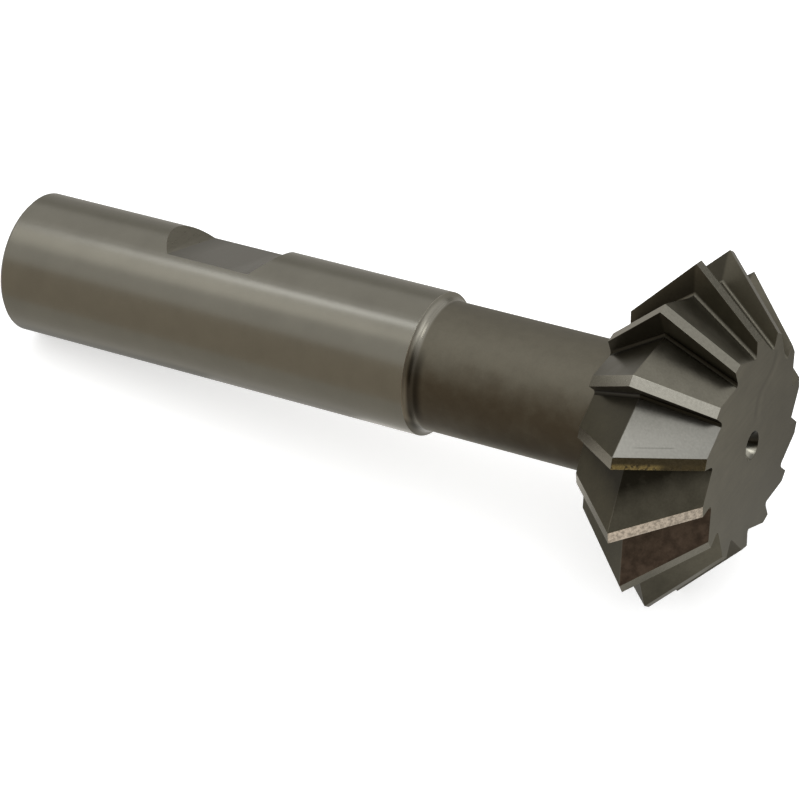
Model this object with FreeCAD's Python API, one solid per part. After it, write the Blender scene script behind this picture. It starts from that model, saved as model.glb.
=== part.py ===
import FreeCAD, Part
import math
import os

# Double-angle milling cutter with a cylindrical shank, one piece of steel.
# Lengths are in millimetres and angles in degrees.
# The tool is made along its own axis, tool Z, from the shank end at 0 to the
# front face, and is then laid down as it rests on a table: on two neighbouring
# teeth and the edge of the shank end, with the head towards +X.

# Driving dimensions of the shank and the neck
shank_diameter = 15.875
shank_length = 51.9
shank_end_chamfer = 0.5
neck_step = 0.794
shoulder_fillet = 1.19
neck_length = 22.7
neck_fillet = 0.6

# Driving dimensions of the set-screw flat milled into the shank
flat_depth = 1.78
flat_start = 20.0
flat_length = 10.4
flat_end_ramp = 2.0
flat_front_ramp = 1.6
flat_angle = 13.6

# Driving dimensions of the toothed head
head_diameter = 38.1
rear_width = 7.144
front_width = 7.144
rear_flank_angle = 45.0
front_flank_angle = 45.0
tooth_count = 14
gullet_depth = 3.69
land_width = 1.235
relief_angle = 6.0
gullet_fillet = 0.35

# Number of the tooth space that faces the table, counted from the first tooth
lowest_tooth_space = 8

# Driving dimensions of the turning centres in both ends
centre_mouth_diameter = 3.175
centre_angle = 60.0
pilot_diameter = 1.2
pilot_length = 1.5
pilot_tip_angle = 118.0

# The cutting tools of the model reach this far past the steel
overrun = 1.0

# Places closer together than this are taken as one
same_place = 1e-6

# Sizes that follow from the driving dimensions
shank_radius = shank_diameter / 2
neck_radius = shank_radius - neck_step
tip_radius = head_diameter / 2
rear_face = shank_length + neck_length
tip_plane = rear_face + rear_width
front_face = tip_plane + front_width
rear_face_radius = tip_radius - rear_width * math.tan(math.radians(rear_flank_angle))
front_face_radius = tip_radius - front_width * math.tan(math.radians(front_flank_angle))
tooth_pitch = 360.0 / tooth_count

AXIS = FreeCAD.Vector(0, 0, 1)
ORIGIN = FreeCAD.Vector(0, 0, 0)


def radial(radius, angle, z):
    """Return the point at a radius, an angle round the tool axis and a height along it."""
    turn = math.radians(angle)
    return FreeCAD.Vector(radius * math.cos(turn), radius * math.sin(turn), z)


def revolved(edges):
    """Turn a closed profile in the half plane of angle 0 into a solid of revolution."""
    return Part.Face(Part.Wire(edges)).revolve(ORIGIN, AXIS, 360)


def corner_fillet(corner, before, after, radius):
    """Return the two tangent points and the middle point of a fillet at a profile corner."""
    to_before = (before - corner).normalize()
    to_after = (after - corner).normalize()
    half = to_before.getAngle(to_after) / 2
    reach = radius / math.tan(half)
    centre = corner + (to_before + to_after).normalize() * (radius / math.sin(half))
    middle = centre + (corner - centre).normalize() * radius
    return corner + to_before * reach, middle, corner + to_after * reach


def shoulder_arc():
    """Return the hollow arc from the shank's edge down to the neck, tangent to the neck."""
    run = math.sqrt(2 * neck_step * shoulder_fillet - neck_step ** 2)
    sweep = math.degrees(math.acos(1 - neck_step / shoulder_fillet))
    centre = radial(neck_radius + shoulder_fillet, 0, shank_length + run)
    half_way = math.radians(sweep / 2)
    inward = FreeCAD.Vector(-math.cos(half_way), 0, -math.sin(half_way))
    edge = radial(shank_radius, 0, shank_length)
    foot = radial(neck_radius, 0, shank_length + run)
    return edge, centre + inward * shoulder_fillet, foot


def chain(points):
    """Join a list of points by straight edges."""
    return [Part.makeLine(start, end) for start, end in zip(points, points[1:])]


def blank():
    """Return the turned body: shank, hollow shoulder, neck and double-cone head.

    The shank's wall is parted at both ends of the flat's floor, so the stretch beside
    the floor is a wall of its own, open over the floor's width.
    """
    shank_edge, shoulder_middle, neck_foot = shoulder_arc()
    neck_root = radial(neck_radius, 0, rear_face)
    rear_rim = radial(rear_face_radius, 0, rear_face)
    fillet_in, fillet_middle, fillet_out = corner_fillet(neck_root, neck_foot, rear_rim, neck_fillet)
    edges = chain([ORIGIN,
                   radial(shank_radius - shank_end_chamfer, 0, 0),
                   radial(shank_radius, 0, shank_end_chamfer),
                   radial(shank_radius, 0, flat_start),
                   radial(shank_radius, 0, flat_start + flat_length),
                   shank_edge])
    edges.append(Part.Arc(shank_edge, shoulder_middle, neck_foot).toShape())
    edges += chain([neck_foot, fillet_in])
    edges.append(Part.Arc(fillet_in, fillet_middle, fillet_out).toShape())
    edges += chain([fillet_out,
                    rear_rim,
                    radial(tip_radius, 0, tip_plane),
                    radial(front_face_radius, 0, front_face),
                    radial(0, 0, front_face),
                    ORIGIN])
    return revolved(edges)


def set_screw_flat():
    """Return the block that mills the flat, with a ramp at each end of its floor."""
    floor = shank_radius - flat_depth
    top = shank_radius + overrun
    rise = (top - floor) / flat_depth
    profile = [FreeCAD.Vector(floor, -top, flat_start),
               FreeCAD.Vector(floor, -top, flat_start + flat_length),
               FreeCAD.Vector(top, -top, flat_start + flat_length + flat_front_ramp * rise),
               FreeCAD.Vector(top, -top, flat_start - flat_end_ramp * rise)]
    outline = Part.makePolygon(profile + profile[:1])
    block = Part.Face(outline).extrude(FreeCAD.Vector(0, 2 * top, 0))
    block.rotate(ORIGIN, AXIS, flat_angle)
    return block


def turning_centre():
    """Return the drilled centre of an end: a cone mouth, a pilot hole and the drill's point."""
    mouth = centre_mouth_diameter / 2
    pilot = pilot_diameter / 2
    taper = math.tan(math.radians(centre_angle / 2))
    cone_depth = (mouth - pilot) / taper
    pilot_end = cone_depth + pilot_length
    point_depth = pilot / math.tan(math.radians(pilot_tip_angle / 2))
    return revolved(chain([radial(0, 0, -overrun),
                           radial(mouth + overrun * taper, 0, -overrun),
                           radial(pilot, 0, cone_depth),
                           radial(pilot, 0, pilot_end),
                           radial(0, 0, pilot_end + point_depth),
                           radial(0, 0, -overrun)]))


def prism(start, end):
    """Return the solid between two polygons with as many corners, whose side faces are flat."""
    count = len(start)
    faces = [Part.Face(Part.makePolygon(start + start[:1])), Part.Face(Part.makePolygon(end + end[:1]))]
    for i in range(count):
        j = (i + 1) % count
        faces.append(Part.Face(Part.makePolygon([start[i], start[j], end[j], end[i], start[i]])))
    solid = Part.Solid(Part.Shell(faces))
    if solid.Volume < 0:
        solid.reverse()
    return solid


def tooth_space(width, face_radius, face_plane):
    """Return the V-shaped space in front of one tooth on one flank of the head.

    The rake face lies in the axial plane at angle 0. The next tooth's cutting edge
    lies at one pitch. Behind that edge come its land, dropped by the relief angle,
    and its flat back, which meets the rake face in the root line.
    """
    outward = radial(1, tooth_pitch, 0)
    backward = radial(-1, tooth_pitch + 90, 0)
    drop = math.radians(relief_angle)
    to_heel = backward * math.cos(drop) - outward * math.sin(drop)
    edge_tip = radial(tip_radius, tooth_pitch, tip_plane)
    edge_face = radial(face_radius, tooth_pitch, face_plane)
    root_tip = radial(tip_radius - gullet_depth, 0, tip_plane)
    heel_tip = edge_tip + to_heel * land_width
    along = edge_face - edge_tip
    back_normal = along.cross(root_tip - heel_tip)
    root_slope = -back_normal.z * (face_plane - tip_plane) / back_normal.x
    root_along = FreeCAD.Vector(root_slope, 0, face_plane - tip_plane)
    clear_radius = tip_radius + 2 * overrun

    def section(reach):
        """Return the section's corners at a share of the way from tip plane to face."""
        root = root_tip + root_along * reach
        edge = edge_tip + along * reach
        past_edge = edge - to_heel * overrun
        rake_top = FreeCAD.Vector(clear_radius / math.cos(math.radians(tooth_pitch)), 0, edge.z)
        back_top = past_edge + outward * (clear_radius - past_edge.dot(outward))
        return [root, rake_top, back_top, past_edge, edge + to_heel * land_width]

    space = prism(section(0), section(1 + overrun / width))
    root_edges = [e for e in space.Edges if is_root_edge(e, root_tip, root_along)]
    return space.makeFillet(gullet_fillet, root_edges)


def is_root_edge(edge, start, direction):
    """Say whether an edge begins at the root's tip end and runs along the root."""
    ends = [vertex.Point for vertex in edge.Vertexes]
    near = min(ends, key=lambda point: point.distanceToPoint(start))
    far = max(ends, key=lambda point: point.distanceToPoint(start))
    stray = (far - near).cross(direction).Length / direction.Length
    return near.isEqual(start, same_place) and stray < same_place


def toothed(body):
    """Mill every tooth space on both flanks of the head."""
    spaces = [tooth_space(rear_width, rear_face_radius, rear_face),
              tooth_space(front_width, front_face_radius, front_face)]
    tools = []
    for number in range(tooth_count):
        for space in spaces:
            tool = space.copy()
            tool.rotate(ORIGIN, AXIS, number * tooth_pitch)
            tools.append(tool)
    return body.cut(tools)


def land_heel():
    """Return the heel's distance from the axis at the tip plane, and its angle behind the edge."""
    drop = math.radians(relief_angle)
    outward = tip_radius - land_width * math.sin(drop)
    backward = land_width * math.cos(drop)
    return math.hypot(outward, backward), math.atan2(backward, outward)


def resting_placement():
    """Return the turn that lays the tool on its head and on the edge of its shank end.

    The lowest tooth space faces down. The tip of the tooth before it and the land's
    heel of the tooth after it stand equally low, and the axis rises towards the head.
    """
    heel_radius, heel_lag = land_heel()
    apart = math.radians(tooth_pitch) - heel_lag
    past_tip = math.atan2(tip_radius - heel_radius * math.cos(apart), heel_radius * math.sin(apart))
    head_height = tip_radius * math.cos(past_tip)
    rise = math.atan2(head_height - shank_radius, tip_plane - shank_end_chamfer)
    down_angle = lowest_tooth_space * tooth_pitch + math.degrees(past_tip)
    face_down = FreeCAD.Rotation(AXIS, -down_angle)
    lay_down = FreeCAD.Rotation(FreeCAD.Vector(0, 1, 0), 90 - math.degrees(rise))
    return FreeCAD.Placement(ORIGIN, lay_down.multiply(face_down))


def cutter():
    """Return the finished cutter along its own axis."""
    body = blank()
    body = body.cut(set_screw_flat())
    end_centre = turning_centre()
    front_centre = turning_centre()
    front_centre.rotate(ORIGIN, FreeCAD.Vector(1, 0, 0), 180)
    front_centre.translate(FreeCAD.Vector(0, 0, front_face))
    body = body.cut([end_centre, front_centre])
    return toothed(body).Solids[0]


def laid_down(shape):
    """Turn the tool to its rest and set its box's bottom centre at the origin."""
    resting = shape.transformed(resting_placement().toMatrix(), copy=True)
    box = resting.optimalBoundingBox(False)
    offset = FreeCAD.Vector(-box.Center.x, -box.Center.y, -box.ZMin)
    resting.translate(offset)
    return resting, offset


def main():
    os.makedirs("parts", exist_ok=True)
    resting, offset = laid_down(cutter())
    resting.exportStep("parts/cutter.step")
    print("solids", len(resting.Solids), "volume", round(resting.Volume, 3), "valid", resting.isValid())


main()
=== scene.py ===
"""Dress and light the double-angle cutter, one piece of ground tool steel lying on a pale floor.

The cutter is drawn in the tool's frame, with z along its axis from the shank end to the front
face, and is then laid down on the floor.
"""

import math

import bmesh
import bpy
from bpy.props import FloatProperty, FloatVectorProperty, IntProperty, PointerProperty
from mathutils import Matrix, Vector


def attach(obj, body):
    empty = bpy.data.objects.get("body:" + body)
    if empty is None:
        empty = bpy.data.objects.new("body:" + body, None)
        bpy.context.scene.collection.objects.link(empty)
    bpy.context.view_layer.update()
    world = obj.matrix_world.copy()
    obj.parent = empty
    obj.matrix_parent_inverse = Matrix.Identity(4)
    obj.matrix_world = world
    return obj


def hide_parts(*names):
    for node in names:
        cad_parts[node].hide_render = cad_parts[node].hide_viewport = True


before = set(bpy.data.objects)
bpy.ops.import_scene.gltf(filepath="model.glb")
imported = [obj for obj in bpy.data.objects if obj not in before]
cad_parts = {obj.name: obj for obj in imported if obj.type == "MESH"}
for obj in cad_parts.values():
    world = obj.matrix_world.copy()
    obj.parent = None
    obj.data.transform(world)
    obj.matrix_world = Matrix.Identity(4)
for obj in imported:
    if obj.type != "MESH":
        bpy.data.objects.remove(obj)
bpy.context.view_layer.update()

bl_info = {
    "name": "Double-angle cutter",
    "version": (1, 0, 0),
    "blender": (4, 5, 0),
    "location": "3D View > Sidebar > Cutter",
    "description": "Builds a double-angle milling cutter, its finishes and its studio",
    "category": "Object",
}

MM = 0.001

# The finishes, and the marks of the faces that wear them: a face's mark is its material slot
FINISHES = ("ground_shank", "milled_flat", "milled_ramp", "turned_shoulder", "scaled_neck",
            "ground_face", "tooth_rake", "tooth_root", "tooth_back", "ground_land", "centre_hole")
SHANK, FLAT, RAMP, SHOULDER, NECK, FACE, RAKE, ROOT, BACK, LAND, CENTRE = range(len(FINISHES))

# Steps of the mesh round the tool axis, for each tooth
NECK_STEPS = 12
CENTRE_STEPS = 6
END_STEPS = 4

# Steps of the fillets, the hollow, the walls and the bevels
ROOT_STEPS = 5
NECK_FILLET_STEPS = 4
SHOULDER_STEPS = 8
WALL_ROWS = 6
FLAT_ROWS = 4
NECK_ROWS = 8
EDGE_STEPS = 2

# The turning centres: the angle of their cone and of the point that the drill leaves
CONE_ANGLE = math.radians(60)
DRILL_POINT_ANGLE = math.radians(118)

# Places that round to the same one are one vertex, and the welds join vertices this close
PLACES_PER_METRE = 1e7
TOOTH_WELD = 1e-6
PART_WELD = 2e-6

# The turns between two faces past which their edge is bevelled, and past which it is shaded sharp
BEVELLED_FROM = math.radians(20)
SHARP_FROM = math.radians(40)


# Sizes and colours
def length_setting(name, description, millimetres, precision=5):
    """A length setting, given in millimetres and kept in metres."""
    return FloatProperty(name=name, description=description, default=millimetres * MM,
                         unit="LENGTH", precision=precision)


def angle_setting(name, description, degrees):
    """An angle setting, given in degrees and kept in radians."""
    return FloatProperty(name=name, description=description, default=math.radians(degrees),
                         subtype="ANGLE")


def tint(name, description, default):
    """A colour setting."""
    return FloatVectorProperty(name=name, description=description, default=default,
                               subtype="COLOR", size=3, min=0, max=1)


class CutterSizes(bpy.types.PropertyGroup):
    """Sizes of the cutter."""

    shank_diameter: length_setting("Shank diameter", "Ground shank", 15.875)
    shank_length: length_setting("Shank length", "From the shank end to the shoulder", 51.9)
    end_chamfer: length_setting("End chamfer", "Chamfer on the shank end", 0.5)
    neck_step: length_setting("Neck step", "How far the neck lies below the shank", 0.794)
    shoulder_fillet: length_setting("Shoulder fillet", "Radius of the hollow shoulder", 1.19)
    neck_length: length_setting("Neck length", "From the shoulder to the head", 22.7)
    neck_fillet: length_setting("Neck fillet", "Radius where the neck meets the head", 0.6)
    flat_depth: length_setting("Flat depth", "Depth of the set-screw flat", 1.78)
    flat_start: length_setting("Flat start", "From the shank end to the flat's floor", 20)
    flat_length: length_setting("Flat length", "Length of the flat's floor", 10.4)
    flat_end_ramp: length_setting("End ramp", "Length of the ramp towards the shank end", 2)
    flat_front_ramp: length_setting("Front ramp", "Length of the ramp towards the head", 1.6)
    flat_angle: angle_setting("Flat angle", "Where the flat lies round the axis", 13.6)
    head_diameter: length_setting("Head diameter", "Over the tooth tips", 38.1)
    flank_width: length_setting(
        "Flank width", "Width of each of the head's two cones along the axis", 7.144)
    flank_angle: angle_setting("Flank angle", "Angle of each cone", 45)
    gullet_depth: length_setting("Gullet depth", "Depth of the tooth spaces at the tips", 3.69)
    land_width: length_setting("Land width", "Width of the land behind each cutting edge", 1.235)
    relief_angle: angle_setting("Relief angle", "How far each land falls away", 6)
    gullet_fillet: length_setting("Gullet fillet", "Radius at the bottom of each tooth space", 0.35)
    centre_mouth: length_setting("Centre mouth", "Diameter of the turning centres", 3.175)
    pilot_diameter: length_setting("Pilot diameter", "Pilot hole of the turning centres", 1.2)
    pilot_length: length_setting("Pilot length", "Length of the pilot hole", 1.5)
    edge_break: length_setting("Edge break", "Width of the tiny bevel on every sharp edge", 0.04, 6)
    tooth_count: IntProperty(
        name="Teeth", description="Number of teeth", default=14, min=6, max=40)
    lowest_space: IntProperty(
        name="Lowest space", description="Number of the tooth space that faces the floor",
        default=8)


class CutterFinishes(bpy.types.PropertyGroup):
    """Colours of the cutter's surfaces, as the reflection tint of bare metal."""

    shank: tint("Shank", "Ground shank", (0.168, 0.158, 0.129))
    flat: tint("Flat", "Floor of the set-screw flat", (0.14, 0.133, 0.117))
    ramp: tint("Ramps", "Ramps at the ends of the flat", (0.17, 0.158, 0.125))
    shoulder: tint("Shoulder", "Turned edge of the hollow shoulder", (0.215, 0.203, 0.17))
    neck: tint("Neck", "Dull scaled neck", (0.13, 0.118, 0.09))
    # Painted shade: the dark brown given to one side of the neck and to the shaded part of the
    # hollow shoulder
    neck_shade: tint(
        "Neck shade", "Dark brown painted shade along one side of the neck", (0.07, 0.057, 0.039))
    face: tint("End faces", "Matte ground faces of the head", (0.154, 0.1455, 0.1155))
    back: tint("Tooth backs", "Milled backs of the teeth", (0.162, 0.152, 0.121))
    # Painted highlight: the paler, more neutral colour of one tooth back
    silver_back: tint("Bright back", "Tooth back with a painted highlight", (0.165, 0.16, 0.142))
    brown_back: tint("Brown back", "Brown film on one tooth back", (0.083, 0.063, 0.05))
    rear_back: tint(
        "Rear backs", "Dull tooth backs on the flank by the neck", (0.073, 0.0655, 0.0435))
    rake: tint("Rakes", "Rake faces of the teeth, dark with oil", (0.1, 0.091, 0.068))
    root: tint("Roots", "Bottoms of the tooth spaces", (0.12, 0.112, 0.088))
    # Painted shade: the dark colour given to the bottoms of the tooth spaces
    gullet_shade: tint("Gullet shade", "Painted shade in the bottoms of the tooth spaces", (0.028, 0.025, 0.018))
    land: tint("Lands", "Ground lands behind the cutting edges", (0.2, 0.19, 0.157))
    rear_land: tint("Rear lands", "Ground lands on the flank by the neck", (0.218, 0.199, 0.152))
    stained_land: tint("Stained land", "Yellow-brown stain on one land", (0.155, 0.138, 0.096))
    # Painted highlight: golden glints along one cutting edge
    golden_edge: tint("Golden edge", "Bright painted glints on one cutting edge", (0.62, 0.52, 0.26))
    # Painted highlight: a glint over one whole land
    glint_land: tint("Bright land", "Land with a painted glint", (0.37, 0.355, 0.305))
    # Painted highlight: the flecked sparkle of one land
    sparkle_land: tint("Sparkle land", "Pinkish painted sparkle on one land", (0.615, 0.553, 0.485))
    hole: tint("Centre holes", "Walls of the turning centres", (0.17, 0.162, 0.135))


class StudioSettings(bpy.types.PropertyGroup):
    """Camera and floor."""

    distance: length_setting("Camera distance", "From the point looked at", 387.48216)
    azimuth: angle_setting("Camera azimuth", "Round the floor from +X", -61.84103517)
    elevation: angle_setting("Camera elevation", "Above the floor", 41.87445691)
    roll: angle_setting("Camera roll", "Turn about the line of sight", 1.07696515)
    lens: FloatProperty(
        name="Lens", description="Focal length in millimetres", default=157.30093, unit="CAMERA")
    looks_at: FloatVectorProperty(
        name="Looks at", description="Point in the middle of the picture", size=3,
        default=(0.58321673 * MM, 3.85689929 * MM, 3.48618628 * MM), subtype="XYZ", unit="LENGTH")
    floor_colour: tint("Floor", "Pale floor", (0.9, 0.9, 0.895))


# Node trees
class Value:
    """A number in a node tree that arithmetic can be written on."""

    def __init__(self, tree, socket):
        self.tree, self.socket = tree, socket

    def maths(self, operation, *others):
        """This value and others through one maths operation."""
        values = {f"_{i}": value for i, value in enumerate((self, *others))}
        return self.tree.value("ShaderNodeMath", {"operation": operation}, **values)

    def __add__(self, other):
        return self.maths("ADD", other)

    __radd__ = __add__

    def __sub__(self, other):
        return self.maths("SUBTRACT", other)

    def __rsub__(self, other):
        return (self * -1).maths("ADD", other)

    def __mul__(self, other):
        return self.maths("MULTIPLY", other)

    __rmul__ = __mul__

    def ramp(self, low, high, to_low=0.0, to_high=1.0):
        """The value taken smoothly from one range to another and held at its ends."""
        return self.tree.value(
            "ShaderNodeMapRange", {"interpolation_type": "SMOOTHSTEP"}, Value=self,
            **{"From Min": low, "From Max": high, "To Min": to_low, "To Max": to_high})


class NodeTree:
    """A node tree that is built node by node."""

    def __init__(self, tree):
        self.tree = tree

    def node(self, kind, settings=None, **values):
        """A node of a type, with its settings and then the values or links of its sockets.

        A socket is given by its name, or as _0, _1 and so on by its number.
        """
        made = self.tree.nodes.new(kind)
        for key, value in (settings or {}).items():
            setattr(made, key, value)
        for key, value in values.items():
            target = made.inputs[int(key[1:]) if key[0] == "_" else key]
            value = value.socket if isinstance(value, Value) else value
            if isinstance(value, bpy.types.NodeSocket):
                self.tree.links.new(value, target)
            else:
                target.default_value = value
        return made

    def out(self, kind, settings=None, output=0, **values):
        """One output socket of a new node."""
        return self.node(kind, settings, **values).outputs[output]

    def value(self, kind, settings=None, output=0, **values):
        """One output of a new node as a value."""
        return Value(self, self.out(kind, settings, output, **values))


# Geometry helpers
def radial(radius, angle, z):
    """The point at a radius, an angle round the tool axis and a height along it."""
    return Vector((radius * math.cos(angle), radius * math.sin(angle), z))


def arc(radius, start, end, steps, z):
    """Places on a circle round the tool axis from one angle to another."""
    return [radial(radius, start + (end - start) * i / steps, z) for i in range(steps + 1)]


def closed_ring(radius, angles, z):
    """Places round the whole tool axis at the given angles, the first one again at the end."""
    return [radial(radius, angle, z) for angle in (*angles, angles[0])]


def between(start, end, parts):
    """Rows of places in equal steps from one row to another, both of them included."""
    return [[a.lerp(b, k / parts) for a, b in zip(start, end)] for k in range(parts + 1)]


class SolidSheet:
    """A mesh being drawn face by face in the tool frame, with a mark on each face."""

    def __init__(self):
        self.bm = bmesh.new()
        self.zone = self.bm.faces.layers.int.new("zone")
        self.known = {}

    def point(self, place):
        """The vertex at a place, made once."""
        key = tuple(round(c * PLACES_PER_METRE) for c in place)
        if key not in self.known:
            self.known[key] = self.bm.verts.new(place)
        return self.known[key]

    def face(self, places, zone):
        """One face through the places, counter-clockwise seen from outside."""
        corners = []
        for place in places:
            vertex = self.point(place)
            if not corners or vertex is not corners[-1]:
                corners.append(vertex)
        if corners[0] is corners[-1]:
            corners.pop()
        if len(corners) > 2:
            self.bm.faces.new(corners)[self.zone] = zone

    def strip(self, lower, upper, zone):
        """Quads between two rows of places of the same length."""
        for i in range(len(lower) - 1):
            self.face([lower[i], lower[i + 1], upper[i + 1], upper[i]], zone)

    def wall(self, start, end, zone, parts):
        """Strips in equal parts from one row of places to another."""
        rows = between(start, end, parts)
        for near, far in zip(rows, rows[1:]):
            self.strip(near, far, zone)

    def mesh(self, name):
        """The finished sheet as a mesh."""
        made = bpy.data.meshes.new(name)
        self.bm.to_mesh(made)
        self.bm.free()
        return made


def draw_centre(sheet, s, mouth, plane, inward, sweep):
    """The walls of a turning centre: cone, pilot hole and the point that the drill left."""
    steps = len(mouth) - 1
    pilot = s.pilot_diameter / 2
    cone_depth = (s.centre_mouth / 2 - pilot) / math.tan(CONE_ANGLE / 2)
    depths = [cone_depth, cone_depth + s.pilot_length]
    point_depth = depths[1] + pilot / math.tan(DRILL_POINT_ANGLE / 2)
    rows = [mouth] + [arc(pilot, 0, sweep, steps, plane + inward * depth) for depth in depths]
    rows.append([Vector((0, 0, plane + inward * point_depth))] * (steps + 1))
    for outer, inner in zip(rows, rows[1:]):
        if inward < 0:
            sheet.strip(outer, inner, CENTRE)
        else:
            sheet.strip(inner, outer, CENTRE)


# The toothed head
def pitch_angle(s):
    """The angle from one tooth to the next."""
    return 2 * math.pi / s.tooth_count


def tip_plane(s):
    """How far the tooth tips lie from the shank end."""
    return s.shank_length + s.neck_length + s.flank_width


def tooth_lines(s):
    """The corner lines of one tooth space, from the tip plane to the head's front face.

    The rake face lies at angle 0 and the next cutting edge at one pitch. Each line is a pair of
    places, and the root has a line for each step of its fillet.
    """
    pitch = pitch_angle(s)
    tip_radius = s.head_diameter / 2
    face_radius = tip_radius - s.flank_width * math.tan(s.flank_angle)
    tip = tip_plane(s)
    front_face = tip + s.flank_width
    outward = radial(1, pitch, 0)
    backward = radial(-1, pitch + math.pi / 2, 0)
    fall = backward * math.cos(s.relief_angle) - outward * math.sin(s.relief_angle)
    to_heel = fall * s.land_width
    edge_tip = radial(tip_radius, pitch, tip)
    edge_face = radial(face_radius, pitch, front_face)
    root_tip = Vector((tip_radius - s.gullet_depth, 0, tip))
    along = edge_face - edge_tip
    back_normal = along.cross(root_tip - edge_tip - to_heel).normalized()
    if back_normal.dot(outward) < 0:
        back_normal.negate()
    root_along = Vector((-back_normal.z * s.flank_width / back_normal.x, 0, s.flank_width))
    rake_normal = Vector((0, 1, 0))
    bisector = (back_normal + rake_normal).normalized()
    half_turn = back_normal.angle(rake_normal) / 2
    axis_point = root_tip + bisector * (s.gullet_fillet / math.cos(half_turn))
    root = []
    for i in range(ROOT_STEPS + 1):
        lean = -rake_normal.slerp(back_normal, i / ROOT_STEPS)
        start = axis_point + lean * s.gullet_fillet
        at_tip = start + root_along * ((tip - start.z) / s.flank_width)
        root.append((at_tip, at_tip + root_along))
    return {
        "edge": (radial(tip_radius, 0, tip), radial(face_radius, 0, front_face)),
        "root": root,
        "heel": (edge_tip + to_heel, edge_face + to_heel),
        "next_edge": (edge_tip, edge_face),
    }


def draw_tooth_space(s):
    """One pitch of the head: rake, root, back and land of both flanks, and a part of each face."""
    pitch = pitch_angle(s)
    tip = tip_plane(s)
    rear_face, front_face = tip - s.flank_width, tip + s.flank_width
    neck_radius = s.shank_diameter / 2 - s.neck_step
    lines = tooth_lines(s)
    root_tips, root_fronts = [list(places) for places in zip(*lines["root"])]
    edge_tip, edge_front = lines["edge"]
    heel_tip, heel_front = lines["heel"]
    next_tip, next_front = lines["next_edge"]

    def flip(place):
        """The place on the other side of the tip plane."""
        return Vector((place.x, place.y, 2 * tip - place.z))

    root_rears = [flip(place) for place in root_fronts]
    sheet = SolidSheet()
    sheet.face([root_rears[0], flip(edge_front), edge_tip, edge_front, root_fronts[0],
                root_tips[0]], RAKE)
    sheet.strip(root_tips, root_fronts, ROOT)
    sheet.strip(root_rears, root_tips, ROOT)
    sheet.face([root_tips[-1], heel_tip, heel_front, root_fronts[-1]], BACK)
    sheet.face([root_rears[-1], flip(heel_front), heel_tip, root_tips[-1]], BACK)
    sheet.face([heel_tip, next_tip, next_front, heel_front], LAND)
    sheet.face([flip(heel_front), flip(next_front), next_tip, heel_tip], LAND)

    mouth = arc(s.centre_mouth / 2, 0, pitch, CENTRE_STEPS, front_face)
    next_root = Matrix.Rotation(pitch, 3, "Z") @ root_fronts[0]
    rim = root_fronts + [heel_front, next_front, next_root]
    sheet.face(rim + mouth[::-1], FACE)
    fillet_edge = arc(neck_radius + s.neck_fillet, 0, pitch, NECK_STEPS, rear_face)
    rear_rim = [flip(place) for place in rim]
    sheet.face(fillet_edge + rear_rim[::-1], FACE)

    previous = fillet_edge
    for i in range(1, NECK_FILLET_STEPS + 1):
        turned = math.pi / 2 * i / NECK_FILLET_STEPS
        radius = neck_radius + s.neck_fillet * (1 - math.sin(turned))
        height = rear_face - s.neck_fillet * (1 - math.cos(turned))
        ring = arc(radius, 0, pitch, NECK_STEPS, height)
        sheet.strip(ring, previous, NECK)
        previous = ring
    draw_centre(sheet, s, mouth, front_face, -1, pitch)
    return sheet.mesh("tooth_space")


def ring_of_teeth(tooth_faces):
    """The node group that repeats a tooth space round the tool axis and gives the faces finishes.

    It comes with its sockets for the number of teeth and for the weld distance.
    """
    group = bpy.data.node_groups.new("ring_of_teeth", "GeometryNodeTree")
    group.is_modifier = True
    sockets = [group.interface.new_socket(name, in_out=way, socket_type="NodeSocket" + kind)
               for name, way, kind in (("Geometry", "INPUT", "Geometry"),
                                       ("Teeth", "INPUT", "Int"),
                                       ("Weld distance", "INPUT", "Float"),
                                       ("Geometry", "OUTPUT", "Geometry"))]
    tree = NodeTree(group)
    given = tree.node("NodeGroupInput").outputs
    teeth = given["Teeth"]
    places = tree.out("GeometryNodeMeshLine", Count=teeth, Offset=(0, 0, 0))
    index = tree.value("GeometryNodeInputIndex")
    pitch = tree.value("ShaderNodeMath", {"operation": "DIVIDE"}, _0=2 * math.pi, _1=teeth)
    turn = tree.out("ShaderNodeCombineXYZ", Z=index * pitch)
    ring = tree.out("GeometryNodeInstanceOnPoints", Points=places, Instance=given["Geometry"],
                    Rotation=turn)
    real = tree.out("GeometryNodeRealizeInstances", Geometry=ring)
    number = index.maths("DIVIDE", tooth_faces).maths("FLOOR")
    marked = tree.out("GeometryNodeStoreNamedAttribute", {"data_type": "FLOAT", "domain": "FACE"},
                      Geometry=real, Name="tooth", Value=number)
    current = tree.out("GeometryNodeMergeByDistance", Geometry=marked,
                       Distance=given["Weld distance"])
    zone = tree.out("GeometryNodeInputNamedAttribute", {"data_type": "INT"}, Name="zone")
    for mark in (FACE, RAKE, ROOT, BACK, LAND, CENTRE, NECK):
        chosen = tree.out("FunctionNodeCompare", {"data_type": "INT", "operation": "EQUAL"},
                          _2=zone, _3=mark)
        current = tree.out("GeometryNodeSetMaterial", Geometry=current, Selection=chosen,
                           Material=bpy.data.materials[FINISHES[mark]])
    tree.node("NodeGroupOutput", Geometry=current)
    return group, sockets[1].identifier, sockets[2].identifier


def head_mesh(s):
    """The toothed head, open where it meets the neck."""
    space = draw_tooth_space(s)
    holder = bpy.data.objects.new("tooth_space", space)
    bpy.context.scene.collection.objects.link(holder)
    group, teeth, weld_distance = ring_of_teeth(len(space.polygons))
    ring = holder.modifiers.new("ring_of_teeth", "NODES")
    ring.node_group = group
    ring[teeth] = s.tooth_count
    ring[weld_distance] = TOOTH_WELD
    bpy.context.view_layer.update()
    graph = bpy.context.evaluated_depsgraph_get()
    made = bpy.data.meshes.new_from_object(
        holder.evaluated_get(graph), preserve_all_data_layers=True, depsgraph=graph)
    bpy.data.objects.remove(holder)
    return made


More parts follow.
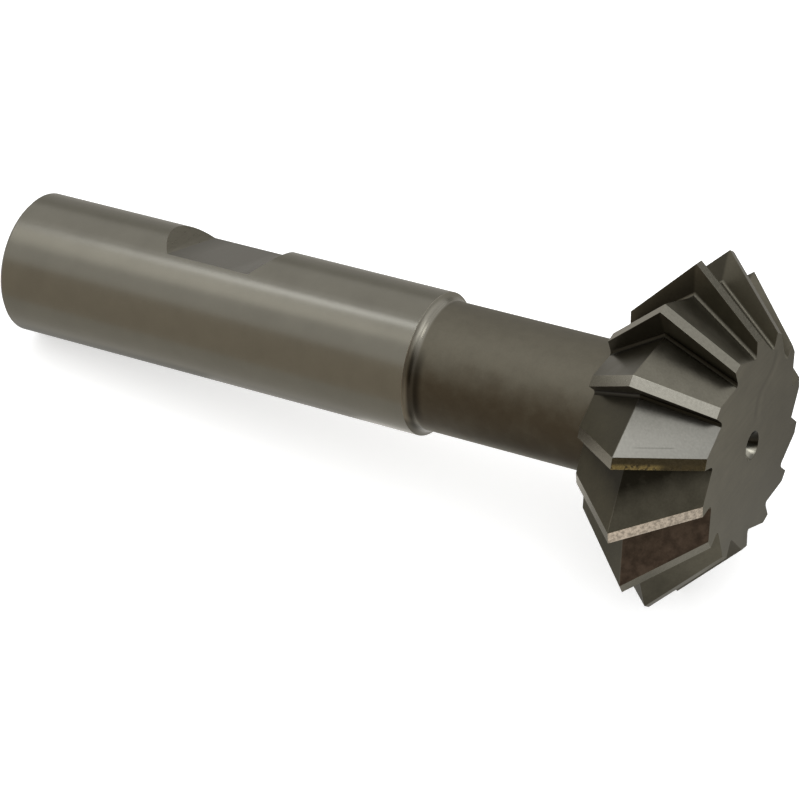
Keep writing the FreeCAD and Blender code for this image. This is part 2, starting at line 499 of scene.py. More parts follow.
# The shank and the neck
def shank_angles(s):
    """The angles of the shank's columns, and the numbers of the two on the edges of the flat."""
    columns = NECK_STEPS * s.tooth_count
    angles = [2 * math.pi * i / columns for i in range(columns)]
    radius = s.shank_diameter / 2
    half_width = math.acos((radius - s.flat_depth) / radius)
    edges = []
    for side in (-half_width, half_width):
        wanted = (s.flat_angle + side) % (2 * math.pi)
        nearest = min(range(columns), key=lambda i: abs(angles[i] - wanted))
        angles[nearest] = wanted
        edges.append(nearest)
    return angles, edges


def draw_shank_end(sheet, s, angles):
    """The shank's end face, turning centre and chamfer; it returns the chamfer's outer edge."""
    radius = s.shank_diameter / 2
    columns = END_STEPS * s.tooth_count
    share = NECK_STEPS // END_STEPS
    mouth = arc(s.centre_mouth / 2, 0, 2 * math.pi, columns, 0)
    rim = closed_ring(radius - s.end_chamfer, angles, 0)
    for i in range(columns):
        outer = rim[share * i:share * (i + 1) + 1]
        sheet.face([mouth[i], mouth[i + 1]] + outer[::-1], FACE)
    draw_centre(sheet, s, mouth, 0, 1, 2 * math.pi)
    edge = closed_ring(radius, angles, s.end_chamfer)
    sheet.strip(rim, edge, SHANK)
    return edge


def draw_shank(s):
    """Shank end, centre, chamfer, ground wall with its flat, hollow shoulder and neck."""
    radius = s.shank_diameter / 2
    neck_radius = radius - s.neck_step
    flat_end = s.flat_start + s.flat_length
    angles, (first, last) = shank_angles(s)
    count = len(angles)
    even = [2 * math.pi * i / count for i in range(count)]
    span = [first]
    while span[-1] != last:
        span.append((span[-1] + 1) % count)
    inside = set(span[1:-1])

    lower, upper = closed_ring(radius, angles, s.flat_start), closed_ring(radius, angles, flat_end)
    for i in span:
        over_floor = radius * math.cos(angles[i] - s.flat_angle) - (radius - s.flat_depth)
        rise = max(over_floor, 0) / s.flat_depth
        lower[i] = radial(radius, angles[i], s.flat_start - s.flat_end_ramp * rise)
        upper[i] = radial(radius, angles[i], flat_end + s.flat_front_ramp * rise)
    lower[-1], upper[-1] = lower[0], upper[0]

    sheet = SolidSheet()
    sheet.wall(draw_shank_end(sheet, s, angles), lower, SHANK, WALL_ROWS)
    for i in range(count):
        if i != first and i not in inside and (i + 1) % count not in inside:
            sheet.wall(lower[i:i + 2], upper[i:i + 2], SHANK, FLAT_ROWS)
    sheet.face([lower[i] for i in span], RAMP)
    sheet.face([upper[i] for i in span[::-1]], RAMP)
    floor = between((lower[first], lower[last]), (upper[first], upper[last]), FLAT_ROWS)
    sheet.strip(*zip(*floor[::-1]), FLAT)

    previous = closed_ring(radius, angles, s.shank_length)
    sheet.wall(upper, previous, SHANK, WALL_ROWS)
    sweep = math.acos(1 - s.neck_step / s.shoulder_fillet)
    run = s.shoulder_fillet * math.sin(sweep)
    for k in range(1, SHOULDER_STEPS + 1):
        left = sweep * (1 - k / SHOULDER_STEPS)
        r = neck_radius + s.shoulder_fillet * (1 - math.cos(left))
        z = s.shank_length + run - s.shoulder_fillet * math.sin(left)
        ring = closed_ring(r, even, z)
        sheet.strip(previous, ring, SHOULDER)
        previous = ring
    neck_end = closed_ring(neck_radius, even, s.shank_length + s.neck_length - s.neck_fillet)
    sheet.wall(previous, neck_end, NECK, NECK_ROWS)
    return sheet.mesh("shank")


# Putting the cutter together
def resting_turn(s):
    """The turn that lays the tool on its head and on the edge of its shank end."""
    pitch = pitch_angle(s)
    tip_radius, shank_radius = s.head_diameter / 2, s.shank_diameter / 2
    outward = tip_radius - s.land_width * math.sin(s.relief_angle)
    backward = s.land_width * math.cos(s.relief_angle)
    heel_radius = math.hypot(outward, backward)
    apart = pitch - math.atan2(backward, outward)
    past_tip = math.atan2(tip_radius - heel_radius * math.cos(apart),
                          heel_radius * math.sin(apart))
    rise = math.atan2(tip_radius * math.cos(past_tip) - shank_radius,
                      tip_plane(s) - s.end_chamfer)
    down = s.lowest_space * pitch + past_tip
    return Matrix.Rotation(math.pi / 2 - rise, 4, "Y") @ Matrix.Rotation(-down, 4, "Z")


def tool_place(s, mesh):
    """The resting turn with the shift that sets the box's bottom centre at the origin."""
    turn = resting_turn(s)
    corners = [turn @ v.co for v in mesh.vertices]
    low = Vector([min(c[i] for c in corners) for i in range(3)])
    high = Vector([max(c[i] for c in corners) for i in range(3)])
    return Matrix.Translation((-(low.x + high.x) / 2, -(low.y + high.y) / 2, -low.z)) @ turn


def break_edges(bm, width):
    """Give every sharp outer edge its tiny bevel."""
    sharp = [e for e in bm.edges if len(e.link_faces) == 2 and e.is_convex
             and e.calc_face_angle(0) > BEVELLED_FROM]
    bmesh.ops.bevel(bm, geom=sharp, offset=width, offset_type="OFFSET", segments=EDGE_STEPS,
                    profile=0.5, affect="EDGES", clamp_overlap=True, loop_slide=True, material=-1)


def joined(parts):
    """Weld meshes into one closed mesh whose faces point outwards."""
    bm = bmesh.new()
    for part in parts:
        bm.from_mesh(part)
    bmesh.ops.remove_doubles(bm, verts=bm.verts, dist=PART_WELD)
    bmesh.ops.recalc_face_normals(bm, faces=bm.faces)
    return bm


def build_cutter(s):
    """The whole cutter as one closed mesh in its resting place, and that place."""
    bm = joined([head_mesh(s), draw_shank(s)])
    whole = bpy.data.meshes.new("cutter_steel")
    bm.to_mesh(whole)
    place = tool_place(s, whole)
    zone = bm.faces.layers.int["zone"]
    break_edges(bm, s.edge_break)
    depth = bm.verts.layers.float.new("depth")
    for vertex in bm.verts:
        x, y, z = vertex.co
        from_axis = math.hypot(x, y)
        vertex[depth] = (s.head_diameter / 2 - abs(z - tip_plane(s)) - from_axis) / MM
    for face in bm.faces:
        face.smooth = True
        face.material_index = face[zone]
    for name in FINISHES:
        whole.materials.append(bpy.data.materials[name])
    bm.transform(place)
    bm.to_mesh(whole)
    bm.free()
    whole.set_sharp_from_angle(angle=SHARP_FROM)
    return whole, place


# Finishes
# The teeth with their own stains, painted highlights, painted glints and painted shade, by their
# numbers round the head
BRIGHT_TOOTH, HIGHLIT_TOOTH, SPARKLE_TOOTH, BROWN_TOOTH, SHADED_TOOTH, DARKEST_SHADED_TOOTH = range(2, 8)

# The sides that painted shade and painted light lie on, in degrees round the tool axis
NECK_SHADE_SIDE = 122
HOLLOW_SHADE_SIDE = 112
LOWER_SHADE_SIDE = 170
FACE_LIGHT_SIDE = 73
HOLE_LIT_SIDE = 37

# Where the hollow shoulder starts and ends, in millimetres from the tip plane
HOLLOW_START = -29.84
HOLLOW_END = -28.7

# How far the fine scratch on the back with the painted highlight lies below the tooth's edge, in
# millimetres
SCRATCH_DEPTH = 0.67

# The height that the bump nodes give to the marks
RELIEF_HEIGHT = 0.02 * MM


class ShaderTree(NodeTree):
    """The nodes of a material or a world."""

    def __init__(self, owner):
        owner.use_nodes = True
        super().__init__(owner.node_tree)
        self.tree.nodes.clear()

    def mix(self, factor, first, second):
        """A colour between two colours."""
        first, second = [c if isinstance(c, bpy.types.NodeSocket) else (*c, 1)
                         for c in (first, second)]
        return self.out("ShaderNodeMix", {"data_type": "RGBA"}, 2, _0=factor, _6=first, _7=second)


class Steel(ShaderTree):
    """A bare metal with marks laid out in the tool's frame, in millimetres from the tip plane."""

    def __init__(self, name, place):
        super().__init__(bpy.data.materials[name])
        at = self.out("ShaderNodeTexCoord", output="Object")
        self.places = self.out("ShaderNodeMapping", {"vector_type": "TEXTURE"}, Vector=at,
                               Location=place.to_translation(), Rotation=place.to_euler(),
                               Scale=(MM, MM, MM))
        self.x, self.y, self.z = [
            Value(self, part) for part in
            self.node("ShaderNodeSeparateXYZ", Vector=self.places).outputs]

    def noise(self, scale, detail=2.0, roughness=0.5, shift=0.0, turn=0.0):
        """Noise from 0 to 1, at a scale for each millimetre or at one for each axis."""
        at = self.places
        if turn:
            at = self.out("ShaderNodeVectorRotate", {"rotation_type": "Z_AXIS"}, Vector=at,
                          Angle=math.radians(-turn))
        if isinstance(scale, tuple):
            at = self.out("ShaderNodeVectorMath", {"operation": "MULTIPLY"}, _0=at, _1=scale)
            scale = 1.0
        if shift:
            at = self.out("ShaderNodeVectorMath", {"operation": "ADD"}, _0=at,
                          _1=(shift, shift, shift))
        return self.value("ShaderNodeTexNoise", {"noise_dimensions": "3D"}, Vector=at,
                          Scale=scale, Detail=detail, Roughness=roughness)

    def towards(self, side):
        """How far a place lies from the axis towards a side, given in degrees round it."""
        turn = math.radians(side)
        return self.x * math.cos(turn) + self.y * math.sin(turn)

    def mark(self, name):
        """A mark kept with the mesh."""
        return self.value("ShaderNodeAttribute",
                          {"attribute_type": "GEOMETRY", "attribute_name": name}, "Fac")

    def tooth(self, number):
        """1 on the faces of one tooth and 0 elsewhere."""
        return self.mark("tooth").maths("COMPARE", number, 0.5)

    def tinted(self, colour, amount):
        """A colour made lighter or darker by a value."""
        colour = colour if isinstance(colour, bpy.types.NodeSocket) else tuple(colour)
        grey = self.out("ShaderNodeCombineXYZ", X=amount, Y=amount, Z=amount)
        return self.out("ShaderNodeVectorMath", {"operation": "MULTIPLY"}, _0=colour, _1=grey)

    def finish(self, colour, roughness, relief, strength):
        """Make the metal with its colour, its roughness and the relief of its marks."""
        normal = self.out("ShaderNodeBump", Height=relief, Strength=strength,
                          Distance=RELIEF_HEIGHT)
        metal = self.out("ShaderNodeBsdfPrincipled", Metallic=1.0, Roughness=roughness,
                         Normal=normal, **{"Base Color": colour})
        self.node("ShaderNodeOutputMaterial", Surface=metal)


def ground_shank(steel, c):
    """Satin ground steel with fine marks round the shank."""
    marks = steel.noise((0.3, 0.3, 9.0), 3.0, 0.6)
    clouds = steel.noise(0.3, 4.0, 0.6)
    fine = steel.noise(7.0)
    shade = 0.84 + 0.22 * clouds + 0.06 * marks + 0.04 * fine
    steel.finish(steel.tinted(c.shank, shade), 0.2 + 0.06 * marks + 0.04 * clouds, marks, 0.05)


def milled(steel, colour, roughness, spread):
    """Steel with an end mill's feed marks."""
    marks = steel.noise((1.2, 1.2, 6.0), 3.0, 0.6)
    shade = 0.88 + 0.24 * marks
    steel.finish(steel.tinted(colour, shade), roughness + spread * marks, marks, 0.12)


def milled_flat(steel, c):
    """Floor of the flat."""
    milled(steel, c.flat, 0.26, 0.12)


def milled_ramp(steel, c):
    """Ramps of the flat."""
    milled(steel, c.ramp, 0.24, 0.1)


def neck_scale(steel, c):
    """The neck's mottled colour with a dark brown painted shade along one side and painted shade by
    the hollow shoulder, its blots and its grain.
    """
    clouds = steel.noise(0.3, 4.0, 0.55)
    blots = steel.noise(0.8, 3.0, 0.6, 40.0)
    grain = steel.noise(5.0, 3.0)
    # Painted shade: the neck turns dark brown along one side
    darkening = (0.14 * steel.towards(NECK_SHADE_SIDE) + 0.4 * clouds - 0.2).ramp(0.69, 1.04)
    # Painted shade: the neck darkens on one side where it meets the hollow shoulder
    hollow_shade = steel.towards(HOLLOW_SHADE_SIDE).ramp(5.5, 7.0, 0.0, 0.62)
    hollow_shade = hollow_shade * steel.z.ramp(HOLLOW_END + 0.1, HOLLOW_END + 1.0, 1.0, 0.0)
    shade = (1 - hollow_shade) * (0.7 + 0.34 * blots + 0.14 * clouds + 0.12 * grain)
    return steel.tinted(steel.mix(darkening, c.neck, c.neck_shade), shade), blots, grain


def turned_shoulder(steel, c):
    """Turned hollow, shiny at the shank's edge and scaled towards the neck, with painted shade in
    the hollow on one side and towards its lower side, and a painted highlight along the shank's
    edge.
    """
    scale, _, grain = neck_scale(steel, c)
    scaled = steel.z.ramp(HOLLOW_END - 0.35, HOLLOW_END)
    rim = steel.z.ramp(HOLLOW_START, HOLLOW_START + 0.49, 1.0, 0.0)
    # Painted shade: the hollow turns dark brown on one side
    hollow_shade = steel.towards(HOLLOW_SHADE_SIDE).ramp(5.2, 6.9, 0.0, 0.78)
    # Painted shade: the shoulder darkens towards its lower side
    painted_shade = steel.towards(LOWER_SHADE_SIDE).ramp(6.65, 7.2, 1.0, 0.42)
    # Painted highlight: the rim at the shank's edge is brightened, most where the hollow is shaded
    shade = painted_shade * (1 - 0.65 * hollow_shade + rim * (0.5 + 2.5 * hollow_shade))
    shiny = steel.tinted(steel.mix(hollow_shade, c.shoulder, c.neck_shade), shade)
    steel.finish(steel.mix(scaled, shiny, scale), 0.27 + 0.23 * scaled + 0.19 * rim, grain, 0.08)


def scaled_neck(steel, c):
    """Dull mottled neck."""
    scale, blots, grain = neck_scale(steel, c)
    steel.finish(scale, 0.46 + 0.12 * blots, grain, 0.12)


def ground_face(steel, c):
    """Matte face with faint grinding lines and one long soft scratch with a bend in it, a painted
    highlight beside the scratch and painted light towards one side.
    """
    marks = steel.noise((0.25, 2.2, 0.3), 4.0, 0.6, turn=125.0)
    clouds = steel.noise(0.25, 3.0)
    fine = steel.noise(4.0)
    front = steel.z.ramp(0.0, 1.0)
    bend = steel.x.ramp(4.9, 9.0, 1.4, -0.83)
    off_line = steel.y - bend + steel.x.ramp(2.6, 4.6, 0.4, 0.0)
    reach = front * steel.x.ramp(2.2, 3.4) * steel.x.ramp(10.4, 9.6)
    groove = reach * off_line.maths("ABSOLUTE").ramp(0.0, 0.68, 1.0, 0.0)
    groove = groove * clouds.ramp(0.3, 0.6, 0.6, 1.0)
    # Painted highlight: a light band beside the scratch
    scratch_highlight = reach * (off_line + 1.1).maths("ABSOLUTE").ramp(0.0, 0.7, 1.0, 0.0)
    # Painted light: the face grows lighter towards one side
    side = 1 + 0.021 * steel.towards(FACE_LIGHT_SIDE) * front
    shade = side * (0.5 + 0.36 * clouds + 0.5 * marks + 0.12 * fine)
    shade = shade * (1 - 0.2 * groove + 0.11 * scratch_highlight)
    steel.finish(steel.tinted(c.face, shade), 0.4 + 0.12 * marks, marks, 0.1)


def tooth_back(steel, c):
    """Milled tooth backs, duller by the neck, one with a scratch and a painted highlight, one
    filmed brown, with painted shade towards the roots and on three teeth.
    """
    grain = steel.noise(4.0, 3.0)
    clouds = steel.noise(0.6, 3.0)
    blots = steel.noise(0.9, 4.0, 0.6, 21.0)
    front = steel.z.ramp(-0.2, 0.1)
    highlit, sparkle_tooth = steel.tooth(HIGHLIT_TOOTH), steel.tooth(SPARKLE_TOOTH)
    # Painted shade: three tooth backs are darkened towards the rear backs' colour, most on two of
    # them
    painted_shade = 0.25 * sparkle_tooth + 0.45 * steel.tooth(SHADED_TOOTH) + 0.72 * steel.tooth(DARKEST_SHADED_TOOTH)
    film = steel.tinted(c.brown_back, blots.ramp(0.32, 0.68, 0.68, 1.2))
    # Painted shade: each tooth back darkens towards its root, most on two teeth
    deep = steel.mark("depth").ramp(0.7, 3.1) * (0.3 + 0.15 * highlit + 0.95 * sparkle_tooth)
    deep = (deep * blots.ramp(0.3, 0.6, 0.8, 1.0)).maths("MINIMUM", 1.0)
    colour = steel.mix(front, c.rear_back, c.back)
    colour = steel.mix(front * highlit, colour, c.silver_back)
    colour = steel.mix(front * painted_shade, colour, c.rear_back)
    colour = steel.mix(front * steel.tooth(BROWN_TOOTH), colour, film)
    colour = steel.mix(deep, colour, c.gullet_shade)
    off_line = (steel.mark("depth") - SCRATCH_DEPTH).maths("ABSOLUTE")
    scratch = off_line.ramp(0.015, 0.06, 0.25, 0.0)
    scratch = scratch * steel.z.ramp(1.0, 1.6) * steel.z.ramp(4.0, 4.6, 1.0, 0.0)
    shade = 0.62 + 0.4 * clouds + 0.34 * grain
    # Painted highlight: that tooth back is brightened and fades along the axis, with the scratch as
    # a dark line
    shade = shade * (1 + highlit * (0.12 - 0.035 * steel.z - scratch))
    steel.finish(steel.tinted(colour, shade), 0.24 + 0.14 * clouds, grain, 0.1)


def tooth_root(steel, c):
    """Roots of the tooth spaces, three of them darkened by painted shade."""
    grain = steel.noise(3.0, 3.0)
    shaded_roots = steel.tooth(BRIGHT_TOOTH) + steel.tooth(HIGHLIT_TOOTH) + steel.tooth(SPARKLE_TOOTH)
    colour = steel.mix(shaded_roots, c.root, c.gullet_shade)
    steel.finish(steel.tinted(colour, 0.8 + 0.4 * grain), 0.35 + 0.15 * grain, grain, 0.12)


def tooth_rake(steel, c):
    """Ground rake faces with a film of oil, darker on the flank by the neck."""
    grain = steel.noise(4.0, 3.0)
    clouds = steel.noise(0.7, 3.0)
    dull = steel.z.ramp(-0.3, 0.1, 0.55, 1.0)
    shade = dull * (0.7 + 0.36 * clouds + 0.24 * grain)
    steel.finish(steel.tinted(c.rake, shade), 0.3 + 0.12 * grain, grain, 0.12)


def ground_land(steel, c):
    """Ground lands, of which one has a painted glint, one is stained with painted golden glints
    along its edge and one has a painted sparkle.
    """
    grain = steel.noise(3.5, 3.0, 0.6)
    flecks = steel.noise(2.6, 3.0, 0.6, 15.0)
    front = steel.z.ramp(-0.1, 0.1)
    stained = front * steel.tooth(HIGHLIT_TOOTH)
    # Painted highlight: golden glints in spots along the stained land's cutting edge
    edge_glints = stained * steel.mark("depth").ramp(0.02, 0.05, 1.0, 0.0) * flecks.ramp(0.35, 0.5)
    # Painted highlight: bright flecks of sparkle on one land
    sparkle = steel.tinted(c.sparkle_land, flecks.ramp(0.32, 0.66, 0.68, 1.32))
    colour = steel.mix(front, c.rear_land, c.land)
    # Painted highlight: one land takes the pale glint colour
    colour = steel.mix(steel.tooth(BRIGHT_TOOTH), colour, c.glint_land)
    colour = steel.mix(stained, colour, c.stained_land)
    colour = steel.mix(edge_glints * steel.z.ramp(3.2, 4.2, 1.0, 0.1), colour, c.golden_edge)
    colour = steel.tinted(colour, 0.76 + 0.48 * grain)
    colour = steel.mix(front * steel.tooth(SPARKLE_TOOTH), colour, sparkle)
    steel.finish(colour, 0.2 + 0.1 * grain, grain, 0.1)


def centre_hole(steel, c):
    """Drilled and countersunk walls, with light on one side."""
    marks = steel.noise((1.0, 1.0, 10.0))
    lit_side = steel.towards(HOLE_LIT_SIDE)
    lit = lit_side.ramp(-1.2, -0.85, 1.9, 0.2) * lit_side.ramp(-1.5, -1.22, 0.35, 1.0)
    shade = lit * (0.85 + 0.3 * marks)
    steel.finish(steel.tinted(c.hole, shade), 0.2 + 0.05 * marks, marks, 0.08)


# One for each of the finishes, in their order
DRESSES = (ground_shank, milled_flat, milled_ramp, turned_shoulder, scaled_neck, ground_face,
           tooth_rake, tooth_root, tooth_back, ground_land, centre_hole)


class CUTTER_OT_build(bpy.types.Operator):
    """Build the cutter in its resting place and give it its finishes"""

    bl_idname = "cutter.build"
    bl_label = "Build cutter"

    def execute(self, context):
        sizes, colours = context.scene.cutter_sizes, context.scene.cutter_finishes
        for name in FINISHES:
            bpy.data.materials.new(name)
        mesh, place = build_cutter(sizes)
        head_middle = place @ Matrix.Translation((0, 0, tip_plane(sizes)))
        for name, dress in zip(FINISHES, DRESSES):
            dress(Steel(name, head_middle), colours)
        piece = bpy.data.objects.new("cutter_steel", mesh)
        context.scene.collection.objects.link(piece)
        weighted = piece.modifiers.new("flat_faces_stay_flat", "WEIGHTED_NORMAL")
        weighted.keep_sharp = True
        weighted.weight = 100
        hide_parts("cutter")
        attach(piece, "root")
        return {"FINISHED"}


# The studio
# The point that the lamps and the standing cards stand round
AIM = Vector((10 * MM, 0, 15 * MM))

# Lamps: azimuth and elevation in degrees, distance, size, brightness and colour
LAMPS = {
    "high_left": (177, 55, 0.6, (0.075, 0.12), 3.4, (0.94, 1.0, 1.14)),
    "left_glow": (-160, 48, 0.7, (0.3, 0.16), 0.85, (1, 1, 1)),
    "high_right": (13, 52, 0.6, (0.2, 0.2), 1.85, (0.98, 1.0, 1.02)),
    "overhead": (0, 80, 0.6, (0.2, 0.16), 2.6, (1, 1, 1)),
}

# Corners of the near card, and how far the table cards and the floor reach
NEAR_LEFT, NEAR_RIGHT = (-0.06, -0.019), (0.064, -0.034)
FAR_LEFT, FAR_RIGHT = (-0.06, 0.02), (0.055, 0.02)
TABLE_REACH = 1.5
FLOOR_REACH = 3.0

# Cards on the floor round the cutter, whose edges fade: their reach along x and y, and their tone.
# The dark ones under the shank, the shoulder and the head are a painted shadow in the floor that
# the metal mirrors.
SOFT_CARDS = {
    "behind_head_card": ((0.012, 0.09), (0.04, 0.14), (0.37, 0.355, 0.325)),
    "shank_shadow_card": ((-0.046, -0.02), (-0.0064, 0.012), (0.38, 0.375, 0.355)),
    "shoulder_shadow_card": ((-0.02, -0.002), (-0.0062, 0.014), (0.52, 0.505, 0.475)),
    "neck_contact_card": ((-0.002, 0.022), (-0.0045, 0.014), (0.95, 0.93, 0.88)),
    "head_side_shadow_card": ((0.01, 0.0475), (-0.017, -0.0048), (0.38, 0.37, 0.345)),
    "head_shadow_card": ((0.03, 0.048), (-0.0048, 0.018), (0.29, 0.275, 0.24)),
}

# Heights of the lying cards: the plain ones, the first soft one and the step to the next
CARD_HEIGHT = 0.05 * MM
SOFT_CARD_HEIGHT = 0.1 * MM
SOFT_CARD_STEP = 0.01 * MM
FADE_WIDTH = 3 * MM

# Cards that stand round the cutter: two azimuths and two elevations in degrees, and their tone
STANDING_CARDS = {
    "front_left_card": ((-150, -75), (-8, 20), (0.67, 0.61, 0.53)),
    "front_low_card": ((-75, -15), (-8, 20), (0.15, 0.12, 0.075)),
    "front_high_card": ((-75, -18), (20, 42), (0.31, 0.3, 0.27)),
    "right_card": ((-15, 20), (-8, 18), (0.5, 0.48, 0.44)),
    "behind_right_card": ((20, 60), (-8, 16), (0.22, 0.21, 0.19)),
    "behind_card": ((60, 102), (-8, 14), (0.3, 0.29, 0.26)),
    "behind_left_card": ((102, 140), (-8, 22), (0.56, 0.55, 0.51)),
    "left_card": ((140, 210), (-8, 12), (0.45, 0.44, 0.41)),
}
CARD_DISTANCE = 0.5
CARD_COLUMNS = 12

# The rays that a card is hidden from, which leaves those that metal mirrors
HIDDEN_FROM = ("camera", "diffuse", "transmission", "volume_scatter", "shadow")

# The camera's sensor in millimetres, and the distance from which it sees things
SENSOR_WIDTH = 36
NEAREST_SEEN = 0.01


def direction(azimuth, elevation):
    """The unit direction at an azimuth from +X and an elevation, in degrees."""
    a, e = math.radians(azimuth), math.radians(elevation)
    return Vector((math.cos(e) * math.cos(a), math.cos(e) * math.sin(a), math.sin(e)))


def lamp(name, azimuth, elevation, distance, size, brightness, colour):
    """A soft rectangular lamp that points at the cutter; a brightness of 1 is the surround's."""
    data = bpy.data.lights.new(name, "AREA")
    data.shape = "RECTANGLE"
    data.size, data.size_y = size
    data.energy = brightness * math.pi * size[0] * size[1]
    data.color = colour
    made = bpy.data.objects.new(name, data)
    away = direction(azimuth, elevation)
    made.location = AIM + away * distance
    made.rotation_euler = away.to_track_quat("Z", "Y").to_euler()
    bpy.context.scene.collection.objects.link(made)


def white_world():
    """A plain white surround that lights the cutter evenly."""
    world = bpy.data.worlds.new("tent")
    bpy.context.scene.world = world
    tent = ShaderTree(world)
    surround = tent.out("ShaderNodeBackground", Color=(1, 1, 1, 1), Strength=1.0)
    tent.node("ShaderNodeOutputWorld", Surface=surround)


def staged(name, places, faces):
    """A thing of the studio, drawn through the places, with a material of its own to be filled."""
    mesh = bpy.data.meshes.new(name)
    mesh.from_pydata(places, [], faces)
    made = bpy.data.objects.new(name, mesh)
    bpy.context.scene.collection.objects.link(made)
    material = bpy.data.materials.new(name)
    mesh.materials.append(material)
    return made, ShaderTree(material)


def within(at, low, high):
    """1 between two places along an axis and 0 past the fades outside them."""
    return at.ramp(low - FADE_WIDTH / 2, low + FADE_WIDTH / 2) * at.ramp(
        high + FADE_WIDTH / 2, high - FADE_WIDTH / 2)


def grey_card(name, places, faces, tone, fade=None):
    """A grey card that stands out of the picture and shows in the metal's reflections alone.

    Where a fade gives ranges of x and y, the card fades out at their ends.
    """
    card, paper = staged(name, places, faces)
    surface = paper.out("ShaderNodeEmission", Color=(*tone, 1), Strength=1.0)
    if fade:
        at = paper.out("ShaderNodeTexCoord", output="Object")
        x, y, _ = paper.node("ShaderNodeSeparateXYZ", Vector=at).outputs
        share = within(Value(paper, x), *fade[0]) * within(Value(paper, y), *fade[1])
        clear = paper.out("ShaderNodeBsdfTransparent")
        surface = paper.out("ShaderNodeMixShader", _0=share, _1=clear, _2=surface)
    paper.node("ShaderNodeOutputMaterial", Surface=surface)
    for ray in HIDDEN_FROM:
        setattr(card, "visible_" + ray, False)


def standing_card(name, azimuths, elevations, tone):
    """A grey card bent round the cutter, between two azimuths and two elevations."""
    places, faces = [], []
    for i in range(CARD_COLUMNS + 1):
        azimuth = azimuths[0] + (azimuths[1] - azimuths[0]) * i / CARD_COLUMNS
        places += [AIM + direction(azimuth, elevation) * CARD_DISTANCE for elevation in elevations]
        if i:
            faces.append((2 * i - 2, 2 * i, 2 * i + 1, 2 * i - 1))
    grey_card(name, places, faces, tone)


def lying_card(name, corners, tone, height=CARD_HEIGHT, fade=None):
    """A grey card on the floor with the given corners."""
    places = [(x, y, height) for x, y in corners]
    grey_card(name, places, [tuple(range(len(places)))], tone, fade)


def soft_card(name, x_range, y_range, tone, height):
    """A grey card on the floor, square to the frame, whose edges fade."""
    (left, right), (near, far) = [(low - FADE_WIDTH / 2, high + FADE_WIDTH / 2)
                                  for low, high in (x_range, y_range)]
    corners = ((left, near), (right, near), (right, far), (left, far))
    lying_card(name, corners, tone, height, (x_range, y_range))


def pale_floor(colour):
    """A wide plain floor, white where it is seen or mirrored."""
    corners = [(-FLOOR_REACH, -FLOOR_REACH, 0), (FLOOR_REACH, -FLOOR_REACH, 0),
               (FLOOR_REACH, FLOOR_REACH, 0), (-FLOOR_REACH, FLOOR_REACH, 0)]
    _, paper = staged("floor", corners, [(0, 1, 2, 3)])
    rays = paper.node("ShaderNodeLightPath").outputs
    seen = Value(paper, rays["Is Camera Ray"])
    for ray in ("Is Glossy Ray", "Is Transmission Ray"):
        seen = seen.maths("MAXIMUM", rays[ray])
    glow = paper.mix(seen, (0, 0, 0), (0.5, 0.5, 0.5))
    sheet = paper.out("ShaderNodeBsdfPrincipled", Roughness=0.9,
                      **{"Base Color": (*colour, 1), "Specular IOR Level": 0.1,
                         "Emission Color": glow, "Emission Strength": 1.0})
    paper.node("ShaderNodeOutputMaterial", Surface=sheet)


def studio_camera(studio):
    """A camera at its distance, azimuth, elevation and roll round the point it looks at."""
    data = bpy.data.cameras.new("camera")
    data.lens = studio.lens
    data.sensor_width = SENSOR_WIDTH
    data.clip_start = NEAREST_SEEN
    camera = bpy.data.objects.new("camera", data)
    away = direction(math.degrees(studio.azimuth), math.degrees(studio.elevation))
    level = Vector((0, 0, 1)).cross(away).normalized()
    right = level * math.cos(studio.roll) + away.cross(level) * math.sin(studio.roll)
    turn = Matrix((right, away.cross(right), away)).transposed().to_4x4()
    place = Vector(studio.looks_at) + away * studio.distance
    camera.matrix_world = Matrix.Translation(place) @ turn
    bpy.context.scene.collection.objects.link(camera)
    bpy.context.scene.camera = camera


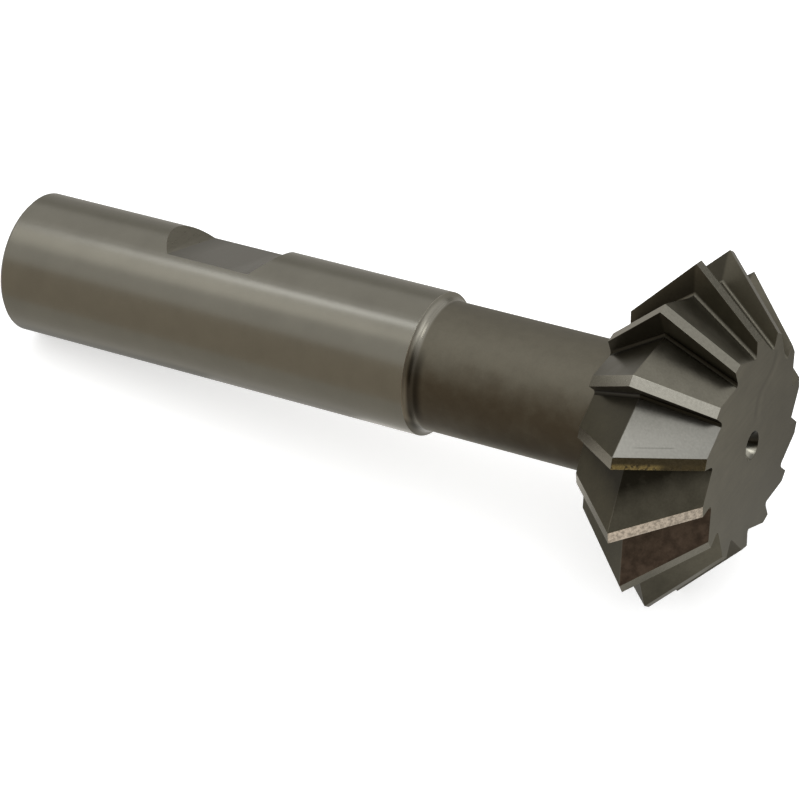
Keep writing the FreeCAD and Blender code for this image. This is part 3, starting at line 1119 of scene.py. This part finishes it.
class CUTTER_OT_stage(bpy.types.Operator):
    """Set up the floor, the lamps, the world, the cards and the camera"""

    bl_idname = "cutter.stage"
    bl_label = "Set up studio"

    def execute(self, context):
        studio = context.scene.cutter_studio
        pale_floor(studio.floor_colour)
        white_world()
        for name, settings in LAMPS.items():
            lamp(name, *settings)
        # The near card is the pale floor under the cutter as the metal mirrors it, dimmed by
        # painted shade
        lying_card("near_card", (NEAR_LEFT, NEAR_RIGHT, FAR_RIGHT, FAR_LEFT), (0.72, 0.706, 0.675))
        for i, (name, settings) in enumerate(SOFT_CARDS.items()):
            soft_card(name, *settings, SOFT_CARD_HEIGHT + SOFT_CARD_STEP * i)
        reach = TABLE_REACH
        front = ((-reach, 0), (-reach, -reach), (reach, -reach), (reach, 0))
        back = ((reach, 0), (reach, reach), (-reach, reach), (-reach, 0))
        lying_card("front_table_card", (NEAR_LEFT, *front, NEAR_RIGHT), (0.66, 0.6, 0.52))
        lying_card("back_table_card", (NEAR_RIGHT, *back, NEAR_LEFT, FAR_LEFT, FAR_RIGHT),
                   (0.52, 0.5, 0.46))
        for name, settings in STANDING_CARDS.items():
            standing_card(name, *settings)
        studio_camera(studio)
        context.scene.view_settings.view_transform = "Standard"
        return {"FINISHED"}


class CUTTER_PT_panel(bpy.types.Panel):
    """The cutter's sizes, colours and studio"""

    bl_idname = "CUTTER_PT_panel"
    bl_label = "Double-angle cutter"
    bl_space_type = "VIEW_3D"
    bl_region_type = "UI"
    bl_category = "Cutter"

    def draw(self, context):
        scene = context.scene
        for title, group, operator in (("Cutter", scene.cutter_sizes, "cutter.build"),
                                       ("Finishes", scene.cutter_finishes, None),
                                       ("Studio", scene.cutter_studio, "cutter.stage")):
            box = self.layout.box()
            box.label(text=title)
            for name in group.__annotations__:
                box.prop(group, name)
            if operator:
                box.operator(operator)


CLASSES = (CutterSizes, CutterFinishes, StudioSettings, CUTTER_OT_build, CUTTER_OT_stage,
           CUTTER_PT_panel)


def register():
    for cls in CLASSES:
        bpy.utils.register_class(cls)
    bpy.types.Scene.cutter_sizes = PointerProperty(type=CutterSizes)
    bpy.types.Scene.cutter_finishes = PointerProperty(type=CutterFinishes)
    bpy.types.Scene.cutter_studio = PointerProperty(type=StudioSettings)


def unregister():
    del bpy.types.Scene.cutter_studio
    del bpy.types.Scene.cutter_finishes
    del bpy.types.Scene.cutter_sizes
    for cls in reversed(CLASSES):
        bpy.utils.unregister_class(cls)


def main():
    register()
    bpy.ops.cutter.build()
    bpy.ops.cutter.stage()


if __name__ == "__main__":
    main()
